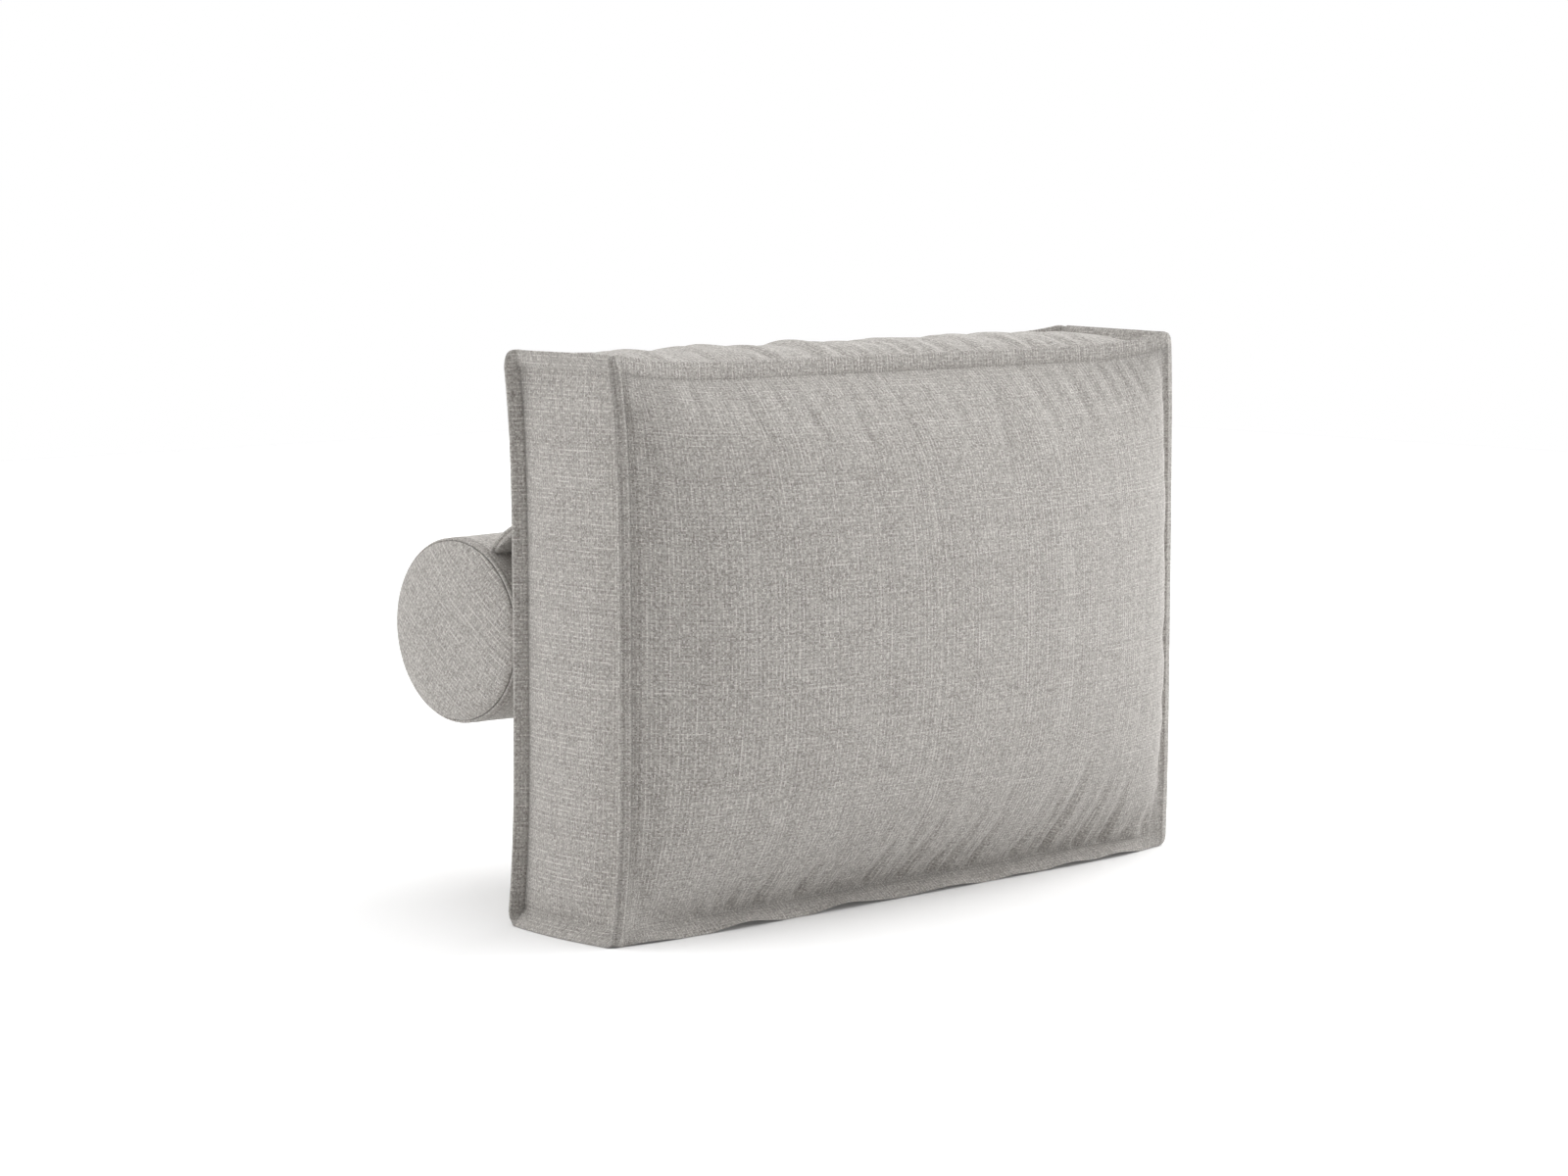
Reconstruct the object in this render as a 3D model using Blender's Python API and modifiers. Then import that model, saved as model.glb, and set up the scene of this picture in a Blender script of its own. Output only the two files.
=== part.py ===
"""A standing back cushion with a bolster roll joined to its back by a padded flap.

Units are metres and +Z is up. The cushion's front faces -Y, its width runs along X, and
the origin lies in the middle of its base, on the surface that it stands on.

The cushion's cover is six cloth panels sewn together along twelve rims. A row of
stitches one flange width inside the rims presses the two cloths together, so every edge
carries a flat flange, and the filling swells the panels between the stitches.
"""
import math

import bmesh
import bpy
from mathutils import Matrix, Vector

# The cushion, from rim to rim
WIDTH = 0.853
HEIGHT = 0.600
DEPTH = 0.165

# The sewn flange on every edge: its width, the thickness left between its stitches, how
# far each cloth puffs out over it, and how its corners are rounded off
FLANGE = 0.0185
STITCHED = 0.003
PUFF = 0.0022
PUFF_BOW = 3
EAR_ROUND = 0.0035
EAR_POWER = 3

# How far the filling swells each panel past its stitches
FRONT_CROWN = 0.095
BACK_CROWN = 0.034
SIDE_CROWN = 0.011
TOP_CROWN = 0.027
BASE_CROWN = 0.030

# The outline of that swell along a panel's first and second direction: one power that
# flattens its middle and one root that steepens its ends
FRONT_SWELL = ((2.05, 1.53), (2.44, 1.57))
BACK_SWELL = ((4.0, 1.6), (4.0, 1.6))
SIDE_SWELL = ((2.6, 1.6), (8.0, 1.6))
TOP_SWELL = ((8.0, 1.5), (2.3, 1.6))
BASE_SWELL = ((12.0, 1.4), (2.6, 1.4))

# How far the edges draw in between the corners: left and right, at the front and back
PULL = {(-1, 0): 0.0115, (-1, 1): 0.0090, (1, 0): 0.0000, (1, 1): 0.0030}
PULL_BOW = 4
TOP_SAG = (0.0115, 0.0070)
TOP_BOW = 8

# The foot flanges splay out where the weight rests on them, and the powers by which
# that splay dies away along them and above them
FOOT_HEIGHT = 0.0150
FOOT_SETBACK = 0.0060
SETBACK_BOW = 8
SETBACK_FADE = 6
FOOT_SPREAD = 0.0060
FOOT_RIM_SPREAD = 0.0050
SPREAD_BOW = 2
SPREAD_FADE = 4

# The rims that run from front to back: their lean at the top, and where they turn out
TOP_RIM_LEAN = 0.0090
RIM_TURN = 0.0120

# The bolster roll and the welt around each of its ends
ROLL_RADIUS = 0.105
ROLL_FLAT = 0.945
ROLL_CENTRE = (0.0, 0.2255, 0.293)
ROLL_END_INSET = 0.048
ROLL_SLACK = 0.0025
ROLL_STEPS = 30
WELT_RADIUS = 0.003
WELT_SINK = 0.001
WELT_STEPS = 6

# The groove that each welt lies in
GROOVE_HALF_WIDTH = 0.0022
GROOVE_SHOULDER = 0.0043
GROOVE_CLEARANCE = 0.0002

# The roll's outline between its middle and a groove, as shares of that run and of the
# slack in its cloth
ROLL_BODY = (
    # run, slack
    (0.00, 1.0),
    (0.45, 0.8),
    (0.80, 0.3),
)

# The domed end beyond a groove: how far out each ring is, and its share of the radius
ROLL_END = (
    # out, radius
    (0.0055, 0.86),
    (0.0102, 0.60),
    (0.0120, 0.28),
    (0.0120, 0.00),
)
ROLL_END_STEP = 0.0015

# The flap between the roll and the cushion's back
FLAP_THICK = 0.0125
FLAP_INSET = 0.008
FLAP_FOOT_ANGLE = math.radians(29.0)
FLAP_BEND = (0.152, 0.409)
FLAP_TOP = 0.420
FLAP_HEM = 0.008
FLAP_HEM_LINE = 0.002
FLAP_HEM_THICK = 0.45
FLAP_BEND_SPREAD = 0.55
FLAP_STRIPS = 22
FLAP_RUNS = 7

# The gap left between neighbouring pieces
GAP = 0.0003
SOFT_GAP = 0.0006

# Pressed-in folds of the front panel. Each row is one fold: how far it starts from the
# left rim, its length from the stitches, its half width, its depth and its lean to +X.
# A fold is this share of its depth at the stitches, deepens at this rate, then fades.
FOLD_ROOT = 0.35
FOLD_RISE = 3.0
FOLD_FADE = 1.3
FOLD_NARROWNESS = 1.6
FOOT_FOLDS = (
    # start, length, half width, depth, lean
    (0.112, 0.030, 0.012, 0.0020, 0.004),
    (0.199, 0.060, 0.014, 0.0035, 0.012),
    (0.257, 0.062, 0.013, 0.0040, 0.016),
    (0.308, 0.034, 0.012, 0.0030, 0.010),
    (0.360, 0.078, 0.014, 0.0045, 0.012),
    (0.410, 0.092, 0.014, 0.0045, 0.020),
    (0.473, 0.064, 0.013, 0.0040, 0.010),
    (0.520, 0.050, 0.012, 0.0035, 0.006),
    (0.580, 0.044, 0.012, 0.0035, 0.004),
    (0.638, 0.110, 0.016, 0.0060, 0.010),
    (0.695, 0.056, 0.013, 0.0040, 0.004),
    (0.745, 0.084, 0.014, 0.0045, 0.000),
    (0.806, 0.060, 0.012, 0.0040, -0.004),
)
HEAD_FOLDS = (
    # start, length, half width, depth, lean
    (0.100, 0.070, 0.014, 0.0016, 0.008),
    (0.165, 0.100, 0.015, 0.0022, 0.010),
    (0.238, 0.080, 0.014, 0.0020, 0.010),
    (0.305, 0.110, 0.016, 0.0026, 0.012),
    (0.372, 0.080, 0.014, 0.0020, 0.010),
    (0.446, 0.100, 0.015, 0.0024, 0.012),
    (0.520, 0.110, 0.016, 0.0028, 0.012),
    (0.590, 0.090, 0.014, 0.0026, 0.012),
    (0.655, 0.110, 0.015, 0.0030, 0.010),
    (0.715, 0.090, 0.014, 0.0028, 0.008),
    (0.770, 0.070, 0.013, 0.0024, 0.004),
)

# Where the cover's surface is divided: shares of the flange, then distances inside the
# stitches near an edge, then an even spacing
FLANGE_LINES = (1.0, 0.86, 0.42)
HIDDEN_FLANGE_LINES = (1.0, 0.55)
WIDTH_EDGE_LINES = (0.006, 0.018)
WIDTH_SPACING = 0.0165
HEIGHT_EDGE_LINES = (0.006, 0.014, 0.025, 0.038, 0.054, 0.074, 0.100)
HEIGHT_SPACING = 0.052
DEPTH_EDGE_LINES = (0.010, 0.034)
DEPTH_SPACING = 0.045


def mix(low, high, share):
    return low + (high - low) * share


def drawn_in(share, power):
    """0 at both ends of an edge and 1 along its middle."""
    return 1.0 - abs(2.0 * share - 1.0) ** power


def swell(shares, outlines):
    """How full a panel is at a place between its stitches: 0 at them and 1 at its crest."""
    full = 1.0
    for share, (power, root) in zip(shares, outlines):
        full *= max(0.0, drawn_in(share, power)) ** (1.0 / root)
    return full


def stitch_x(side, deep, high):
    """X of the left (-1) or right (1) stitches, at shares of the depth and height."""
    pull = mix(PULL[side, 0], PULL[side, 1], deep) * drawn_in(high, PULL_BOW)
    spread = FOOT_SPREAD * drawn_in(deep, SPREAD_BOW) * (1.0 - high) ** SPREAD_FADE
    return side * (WIDTH / 2 - FLANGE - pull + spread)


def stitch_y(back, across, high):
    """Y of the front (0) or back (1) stitches, set back above the foot flange."""
    setback = FOOT_SETBACK * drawn_in(across, SETBACK_BOW) * (1.0 - high) ** SETBACK_FADE
    return (2 * back - 1) * (DEPTH / 2 - setback)


def stitch_z(top, deep, across):
    """Z of the foot (0) or top (1) stitches; the top edges sag between the corners."""
    if not top:
        return FOOT_HEIGHT
    return HEIGHT - FLANGE - mix(*TOP_SAG, deep) * drawn_in(across, TOP_BOW)


def rim_y(back):
    """Y of the front (0) or back (1) rims, in the middle of a flange's thickness."""
    return (2 * back - 1) * (DEPTH - STITCHED) / 2


def fold_depth(folds, from_left, from_stitches):
    """How deep the folds of one edge are pressed in at a place on the front panel."""
    total = 0.0
    for start, length, half_width, depth, lean in folds:
        along = from_stitches / length
        if along >= 1.0:
            continue
        off = (from_left - start - lean * along) / half_width
        pressed = min(1.0, FOLD_ROOT + FOLD_RISE * along) * (1.0 - along) ** FOLD_FADE
        total += depth * pressed * math.exp(-FOLD_NARROWNESS * off * off)
    return total


def broad_panel(back, across, high):
    """The front or back panel inside its stitches."""
    x = mix(stitch_x(-1, back, high), stitch_x(1, back, high), across)
    low, top = stitch_z(0, back, across), stitch_z(1, back, across)
    z = mix(low, top, high)
    y = stitch_y(back, across, high)
    if back:
        return Vector((x, y + BACK_CROWN * swell((across, high), BACK_SWELL), z))
    crown = FRONT_CROWN * swell((across, high), FRONT_SWELL)
    crown -= fold_depth(FOOT_FOLDS, x + WIDTH / 2, z - low)
    crown -= fold_depth(HEAD_FOLDS, x + WIDTH / 2, top - z)
    return Vector((x, y - max(crown, 0.0), z))


def side_panel(right, deep, high):
    """The left or right boxing panel inside its stitches."""
    side = 2 * right - 1
    crown = SIDE_CROWN * swell((deep, high), SIDE_SWELL)
    x = stitch_x(side, deep, high) + side * crown
    y_front = stitch_y(0, right, high) + STITCHED
    y = mix(y_front, stitch_y(1, right, high) - STITCHED, deep)
    return Vector((x, y, mix(FOOT_HEIGHT, stitch_z(1, deep, right), high)))


def level_panel(top, across, deep):
    """The top boxing panel, or the bottom one, pressed flat where the cushion stands."""
    x_left = stitch_x(-1, deep, top) + STITCHED
    x = mix(x_left, stitch_x(1, deep, top) - STITCHED, across)
    y_front = stitch_y(0, across, top) + STITCHED
    y = mix(y_front, stitch_y(1, across, top) - STITCHED, deep)
    z = stitch_z(top, deep, across)
    if top:
        return Vector((x, y, z + TOP_CROWN * swell((across, deep), TOP_SWELL)))
    return Vector((x, y, max(0.0, z - BASE_CROWN * swell((across, deep), BASE_SWELL))))


def split(place):
    """A line's share of the flange, its share of the panel, and the end that it is near."""
    if place < 0.0:
        return -place, 0.0, 0
    if place > 1.0:
        return place - 1.0, 1.0, 1
    return 0.0, place, 0


def run(place, marks):
    """A coordinate along an edge, from its values at a rim, both stitches and a rim."""
    share, inner, end = split(place)
    return mix(mix(marks[1], marks[2], inner), marks[3 * end], share)


def ear(point, right, top, share):
    """Round off a flange's corner."""
    cut = EAR_ROUND * share ** EAR_POWER
    return point - Vector(((2 * right - 1) * cut, 0.0, (2 * top - 1) * cut))


def rim_across(place, back, top):
    """The rim that runs along X at the front or back, at the foot or top."""
    share, across, right = split(place)
    left_x, right_x = stitch_x(-1, back, top), stitch_x(1, back, top)
    x = run(place, (left_x - FLANGE, left_x, right_x, right_x + FLANGE))
    z = stitch_z(1, back, across) + FLANGE if top else 0.0
    return ear(Vector((x, rim_y(back), z)), right, top, share)


def rim_upright(place, right, back):
    """The rim that runs up a corner of the cushion."""
    share, high, top = split(place)
    side = 2 * right - 1
    x = stitch_x(side, back, high) + side * FLANGE
    z = run(place, (0.0, FOOT_HEIGHT, HEIGHT - FLANGE, HEIGHT))
    return ear(Vector((x, rim_y(back), z)), right, top, share)


def rim_deep(place, right, top):
    """The rim that runs from the front to the back, which turns out to meet the corners."""
    share, deep, _ = split(place)
    shift = -TOP_RIM_LEAN if top else FOOT_RIM_SPREAD * drawn_in(deep, SPREAD_BOW)
    x = (2 * right - 1) * (WIDTH / 2 + shift * (1.0 - share))
    turn_y = DEPTH / 2 - RIM_TURN
    y = run(place, (rim_y(0), -turn_y, turn_y, rim_y(1)))
    return ear(Vector((x, y, HEIGHT * top)), right, top, share)


class Face:
    """One cloth panel of the cover: how it runs inside its stitches and over its flanges.

    panel takes the two shares inside the stitches, rims[0] and rims[1] give the rim that
    runs along the first and along the second direction at a far end, and bulge[0] and
    bulge[1] give the way in which the cloth puffs out on the flanges at an end.
    """

    def __init__(self, panel, rims, bulge):
        self.panel = panel
        self.rims = rims
        self.bulge = bulge

    def flange(self, first, second):
        """A point of the flange where only one of the two places is past the stitches."""
        share_a, panel_a, end_a = split(first)
        share_b, panel_b, end_b = split(second)
        seam = self.panel(panel_a, panel_b)
        if share_a > 0.0:
            share, rim, way = share_a, self.rims[1](second, end_a), self.bulge[0](end_a)
        else:
            share, rim, way = share_b, self.rims[0](first, end_b), self.bulge[1](end_b)
        return mix(seam, rim, share) + way * PUFF * drawn_in(share, PUFF_BOW)

    def point(self, first, second):
        """The panel, one of its flanges, or the corner that two flanges share."""
        share_a, panel_a, end_a = split(first)
        share_b, panel_b, end_b = split(second)
        if share_a == 0.0 and share_b == 0.0:
            return self.panel(panel_a, panel_b)
        if share_a == 0.0 or share_b == 0.0:
            return self.flange(first, second)
        outer_a, outer_b = 3.0 * end_a - 1.0, 3.0 * end_b - 1.0
        seam = self.panel(panel_a, panel_b)
        from_a, from_b = self.flange(first, panel_b), self.flange(panel_a, second)
        rim_a, rim_b = self.rims[1](second, end_a), self.rims[0](first, end_b)
        corner = self.rims[0](outer_a, end_b)
        start_a, start_b = self.rims[1](panel_b, end_a), self.rims[0](panel_a, end_b)
        level = mix(mix(seam, start_a, share_a), mix(start_b, corner, share_a), share_b)
        return mix(from_a, rim_b, share_b) + mix(from_b, rim_a, share_a) - level


def cover_faces():
    """The six panels by the cube face that each is made from."""
    inward_y = (Vector((0, 1, 0)), Vector((0, -1, 0)))
    inward_x = (Vector((1, 0, 0)), Vector((-1, 0, 0)))
    faces = {}
    for end in (0, 1):
        outward = -inward_y[end]
        faces["y", end] = Face(
            lambda a, b, end=end: broad_panel(end, a, b),
            (
                lambda place, top, end=end: rim_across(place, end, top),
                lambda place, right, end=end: rim_upright(place, right, end),
            ),
            (lambda _, way=outward: way, lambda _, way=outward: way),
        )
        faces["x", end] = Face(
            lambda a, b, end=end: side_panel(end, a, b),
            (
                lambda place, top, end=end: rim_deep(place, end, top),
                lambda place, back, end=end: rim_upright(place, end, back),
            ),
            (lambda back: inward_y[back], lambda _, way=-inward_x[end]: way),
        )
        faces["z", end] = Face(
            lambda a, b, end=end: level_panel(end, a, b),
            (
                lambda place, back, end=end: rim_across(place, back, end),
                lambda place, right, end=end: rim_deep(place, right, end),
            ),
            (lambda right: inward_x[right], lambda back: inward_y[back]),
        )
    return faces


def places(span, flange_lines, edge_lines, spacing):
    """The places of the lines that divide one direction, from rim to rim."""
    near = [-share for share in flange_lines] + [0.0]
    near += [line / span for line in edge_lines]
    middle = span - 2 * edge_lines[-1]
    count = max(1, round(middle / spacing))
    inner = [(edge_lines[-1] + middle * i / count) / span for i in range(1, count)]
    far = [1.0 - place for place in reversed(near)]
    return near + inner + far


def new_material(name, colour, roughness):
    material = bpy.data.materials.new(name)
    material.use_nodes = True
    shader = material.node_tree.nodes["Principled BSDF"]
    shader.inputs["Base Color"].default_value = (*colour, 1.0)
    shader.inputs["Roughness"].default_value = roughness
    shader.inputs["Metallic"].default_value = 0.0
    return material


def add_object(name, mesh, material, collection):
    piece = bpy.data.objects.new(name, mesh)
    piece.data.materials.append(material)
    collection.objects.link(piece)
    return piece


def sliced_block(counts):
    """A block with one unit cell for each strip of its three directions."""
    block = bmesh.new()
    bmesh.ops.create_cube(block, size=1.0)
    for vertex in block.verts:
        vertex.co = Vector([(vertex.co[i] + 0.5) * counts[i] for i in range(3)])
    for axis in range(3):
        normal = Vector([float(i == axis) for i in range(3)])
        for cut in range(1, counts[axis]):
            geometry = block.verts[:] + block.edges[:] + block.faces[:]
            bmesh.ops.bisect_plane(
                block, geom=geometry, dist=1e-6, plane_co=normal * cut, plane_no=normal
            )
    return block


def finished_mesh(shape, name):
    """Triangles with smooth shading, faces outward."""
    if shape.calc_volume(signed=True) < 0.0:
        bmesh.ops.reverse_faces(shape, faces=shape.faces[:])
    bmesh.ops.triangulate(shape, faces=shape.faces[:])
    mesh = bpy.data.meshes.new(name)
    shape.to_mesh(mesh)
    shape.free()
    mesh.shade_smooth()
    return mesh


def make_cushion(material, collection):
    """The filled cushion with its self-made flanges, as one closed cover."""
    inner_width = WIDTH - 2 * FLANGE
    inner_height = HEIGHT - FLANGE - FOOT_HEIGHT
    inner_depth = DEPTH - 2 * STITCHED
    lines = (
        places(inner_width, FLANGE_LINES, WIDTH_EDGE_LINES, WIDTH_SPACING),
        places(inner_depth, HIDDEN_FLANGE_LINES, DEPTH_EDGE_LINES, DEPTH_SPACING),
        places(inner_height, FLANGE_LINES, HEIGHT_EDGE_LINES, HEIGHT_SPACING),
    )
    cover = sliced_block([len(line) - 1 for line in lines])
    faces = cover_faces()
    for vertex in cover.verts:
        cell = [round(value) for value in vertex.co]
        place = [lines[axis][cell[axis]] for axis in range(3)]
        for axis, name, first, second in ((1, "y", 0, 2), (0, "x", 1, 2), (2, "z", 0, 1)):
            if cell[axis] in (0, len(lines[axis]) - 1):
                end = int(cell[axis] > 0)
                vertex.co = faces[name, end].point(place[first], place[second])
                break
    return add_object("back_cushion", finished_mesh(cover, "back_cushion"), material, collection)


def make_roll(material, collection):
    """The bolster: a turned, slightly flattened roll with a groove for each end welt."""
    welt_at = WIDTH / 2 - ROLL_END_INSET
    floor = ROLL_RADIUS - WELT_SINK - WELT_RADIUS - GAP - GROOVE_CLEARANCE
    half = [(share * welt_at, ROLL_RADIUS + slack * ROLL_SLACK) for share, slack in ROLL_BODY]
    half += [
        (welt_at - GROOVE_SHOULDER, ROLL_RADIUS),
        (welt_at - GROOVE_HALF_WIDTH, floor),
        (welt_at + GROOVE_HALF_WIDTH, floor),
        (welt_at + GROOVE_HALF_WIDTH, floor - ROLL_END_STEP),
    ]
    half += [(welt_at + out, share * ROLL_RADIUS) for out, share in ROLL_END]
    outline = [(-x, radius) for x, radius in reversed(half[1:])] + half
    mesh = bpy.data.meshes.new("bolster")
    edges = [(i, i + 1) for i in range(len(outline) - 1)]
    mesh.from_pydata([(x, 0.0, radius) for x, radius in outline], edges, [])
    roll = add_object("bolster", mesh, material, collection)
    roll.location = ROLL_CENTRE
    roll.scale.z = ROLL_FLAT
    turn = roll.modifiers.new("turned", "SCREW")
    turn.axis = "X"
    turn.steps = ROLL_STEPS
    turn.render_steps = ROLL_STEPS
    turn.use_merge_vertices = True
    turn.merge_threshold = 0.00005
    turn.use_smooth_shade = True
    turn.use_normal_calculate = True
    return roll


def make_welt(side, material, collection):
    """The welt that trims one end of the bolster."""
    bpy.ops.mesh.primitive_torus_add(
        major_segments=ROLL_STEPS,
        minor_segments=WELT_STEPS,
        major_radius=ROLL_RADIUS - WELT_SINK,
        minor_radius=WELT_RADIUS,
    )
    welt = bpy.context.object
    welt.name = "welt_right" if side > 0 else "welt_left"
    welt.data.name = welt.name
    upright = Matrix.Rotation(math.pi / 2, 4, "Y")
    welt.data.transform(upright)
    welt.data.materials.append(material)
    welt.data.shade_smooth()
    x = side * (WIDTH / 2 - ROLL_END_INSET)
    welt.location = (x, ROLL_CENTRE[1], ROLL_CENTRE[2])
    welt.scale.z = ROLL_FLAT
    for holder in welt.users_collection:
        holder.objects.unlink(welt)
    collection.objects.link(welt)
    return welt


def back_surface(x, z):
    """Y of the cushion's back at a place inside its stitches."""
    high = (z - FOOT_HEIGHT) / (stitch_z(1, 1, 0.5) - FOOT_HEIGHT)
    left, right = stitch_x(-1, 1, high), stitch_x(1, 1, high)
    return broad_panel(1, (x - left) / (right - left), high).y


def make_flap(material, collection):
    """The padded flap: from the top of the roll, up and forward to the cushion's back."""
    half_length = WIDTH / 2 - ROLL_END_INSET - FLAP_INSET
    hem_lines = (0.0, FLAP_HEM_LINE, FLAP_HEM)
    inner = half_length - FLAP_HEM
    along = [-half_length + line for line in hem_lines]
    along += [mix(-inner, inner, i / FLAP_STRIPS) for i in range(1, FLAP_STRIPS)]
    along += [half_length - line for line in reversed(hem_lines)]
    flap = sliced_block((len(along) - 1, FLAP_RUNS, 2))
    half_thick = FLAP_THICK / 2
    reach_y = ROLL_RADIUS + ROLL_SLACK + SOFT_GAP
    for vertex in flap.verts:
        cell = [round(value) for value in vertex.co]
        x = along[cell[0]]
        up = cell[1] / FLAP_RUNS
        from_end = min(half_length - abs(x), FLAP_HEM) / FLAP_HEM
        round_off = math.sqrt(max(0.0, 1.0 - (1.0 - from_end) ** 2))
        layer = (cell[2] - 1) * half_thick * mix(FLAP_HEM_THICK, 1.0, round_off)
        angle = FLAP_FOOT_ANGLE - layer / ROLL_RADIUS
        foot = Vector((
            ROLL_CENTRE[1] - reach_y * math.sin(angle),
            ROLL_CENTRE[2] + reach_y * ROLL_FLAT * math.cos(angle),
        ))
        bend = Vector((FLAP_BEND[0] + FLAP_BEND_SPREAD * layer, FLAP_BEND[1] + layer))
        top_z = FLAP_TOP + layer
        top = Vector((back_surface(x, top_z) + SOFT_GAP, top_z))
        spot = mix(mix(foot, bend, up), mix(bend, top, up), up)
        vertex.co = (x, spot.x, spot.y)
    return add_object("flap", finished_mesh(flap, "flap"), material, collection)


def main():
    for old in list(bpy.data.objects):
        bpy.data.objects.remove(old, do_unlink=True)
    collection = bpy.data.collections.new("back_cushion_with_bolster")
    bpy.context.scene.collection.children.link(collection)
    cushion_cloth = new_material("cushion_cloth", (0.38, 0.36, 0.34), 0.92)
    roll_cloth = new_material("roll_cloth", (0.40, 0.38, 0.36), 0.92)
    welt_cloth = new_material("welt_cloth", (0.36, 0.34, 0.32), 0.92)
    flap_cloth = new_material("flap_cloth", (0.38, 0.36, 0.34), 0.92)
    make_cushion(cushion_cloth, collection)
    make_roll(roll_cloth, collection)
    for side in (-1, 1):
        make_welt(side, welt_cloth, collection)
    make_flap(flap_cloth, collection)


main()
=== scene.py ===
"""The looks of a standing back cushion with a bolster roll joined to its back.

Units are metres and +Z is up. The cushion's front faces -Y and its width runs along X.
Every cloth carries a UV map in metres of cloth: U runs across its ribs, V along them.
"""

import math

import bmesh
import bpy
import numpy as np
from mathutils import Matrix, Vector
from mathutils import noise as soft_noise
from mathutils.bvhtree import BVHTree


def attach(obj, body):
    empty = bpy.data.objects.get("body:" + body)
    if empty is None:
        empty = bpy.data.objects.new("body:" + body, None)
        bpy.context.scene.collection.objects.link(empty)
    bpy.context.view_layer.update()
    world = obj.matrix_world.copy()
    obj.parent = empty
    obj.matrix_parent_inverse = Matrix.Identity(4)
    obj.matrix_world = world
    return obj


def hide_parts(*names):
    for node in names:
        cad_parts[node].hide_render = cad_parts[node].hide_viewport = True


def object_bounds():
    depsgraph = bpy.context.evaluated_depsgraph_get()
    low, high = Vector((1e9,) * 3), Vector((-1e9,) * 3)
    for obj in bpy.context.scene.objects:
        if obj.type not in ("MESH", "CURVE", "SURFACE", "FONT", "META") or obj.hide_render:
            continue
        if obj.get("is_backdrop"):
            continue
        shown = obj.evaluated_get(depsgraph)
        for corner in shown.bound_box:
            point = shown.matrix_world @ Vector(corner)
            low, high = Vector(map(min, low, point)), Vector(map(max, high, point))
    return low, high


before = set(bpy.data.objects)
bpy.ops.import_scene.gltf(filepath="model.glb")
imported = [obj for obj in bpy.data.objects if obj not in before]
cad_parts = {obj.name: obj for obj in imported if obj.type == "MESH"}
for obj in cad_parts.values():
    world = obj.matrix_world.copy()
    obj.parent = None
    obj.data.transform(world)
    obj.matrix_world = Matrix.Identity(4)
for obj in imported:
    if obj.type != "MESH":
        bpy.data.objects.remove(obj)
cad_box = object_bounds()

# The cushion, from rim to rim
WIDTH = 0.853
HEIGHT = 0.600
DEPTH = 0.165

# The sewn flange on every edge: its width, the thickness left between its stitches, and
# how far each cloth puffs out over it
FLANGE = 0.0185
STITCHED = 0.003
PUFF = 0.0016
PUFF_BOW = 10
EAR_ROUND = 0.0035
EAR_POWER = 3

# The soft lip along the middle of the upright flanges: its height, its place and half width
# as shares of the flange, and how flat its crest is
LIP = 0.0060
LIP_AT = 0.50
LIP_HALF = 0.14
LIP_POWER = 4

# The bead that the turned-in cloth makes along each upright rim, with its place and half
# width as shares of the flange, and how much of the lip and the bead the left and the right
# flange have
BEAD = 0.0016
BEAD_AT = 0.94
BEAD_HALF = 0.07
LIP_SHARE = (1.0, 0.2)

# How far the filling swells each panel past its stitches
FRONT_CROWN = 0.0915
BACK_CROWN = 0.031
SIDE_CROWN = 0.0095
TOP_CROWN = 0.0230
BASE_CROWN = 0.030

# The outline of that swell along a panel's first and second direction: one power that
# flattens its middle and one root that steepens its ends
FRONT_SWELL = ((2.05, 1.53), (2.44, 1.57))
BACK_SWELL = ((4.0, 1.6), (4.0, 1.6))
SIDE_SWELL = ((2.6, 1.2), (8.0, 1.4))
TOP_SWELL = ((8.0, 1.5), (2.3, 1.6))
BASE_SWELL = ((12.0, 1.4), (2.6, 1.4))

# The front panel is fuller to the right of its middle, and rises more slowly at the foot, by
# a share that fades over this share of its height
FRONT_RIGHT_ROOT = 1.80
FOOT_EASE = 0.86
FOOT_EASE_LENGTH = 0.075

# How far the edges draw in between the corners: left and right, at the front and back
PULL = {(-1, 0): 0.0115, (-1, 1): 0.0090, (1, 0): -0.0030, (1, 1): 0.0030}
PULL_BOW = 4
TOP_SAG = (0.0115, 0.0070)
TOP_BOW = 8

# How far the top rises towards the right end at the back, and where that starts
RISE = 0.0034
RISE_START = 0.25

# The foot flanges splay out where the weight rests on them
FOOT_HEIGHT = 0.0150
FOOT_SETBACK = 0.0070
SETBACK_BOW = 8
SETBACK_FADE = 6
FOOT_SPREAD = 0.0060
FOOT_RIM_SPREAD = 0.0050
FOOT_SPLAY = 0.0160
FOOT_LIFT = 0.0085
FOOT_WAVE = 0.35
FOOT_WAVE_LENGTH = 0.072
FOOT_WAVE_BIAS = 0.30
SPREAD_BOW = 2
SPREAD_FADE = 4

# The rims that run from front to back: their lean at the top, and where they turn out
TOP_RIM_LEAN = 0.0090
RIM_TURN = 0.0120

# How far the upright rim at the back on the left turns in and backwards
BACK_RIM_IN = 0.0052
BACK_RIM_BACK = 0.0070
BACK_RIM_BOW = 6

# The bolster roll and the welt around each of its ends
ROLL_RADIUS = 0.105
ROLL_FLAT = 0.945
ROLL_CENTRE = (0.0, 0.2255, 0.293)
ROLL_END_INSET = 0.048
ROLL_SLACK = 0.0025
WELT_RADIUS = 0.0021
WELT_SINK = 0.0014

# The flap between the roll and the cushion's back
FLAP_THICK = 0.0125
FLAP_INSET = 0.008
FLAP_FOOT_ANGLE = math.radians(29.0)
FLAP_BEND = (0.152, 0.409)
FLAP_TOP = 0.420
SOFT_GAP = 0.0006

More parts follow.
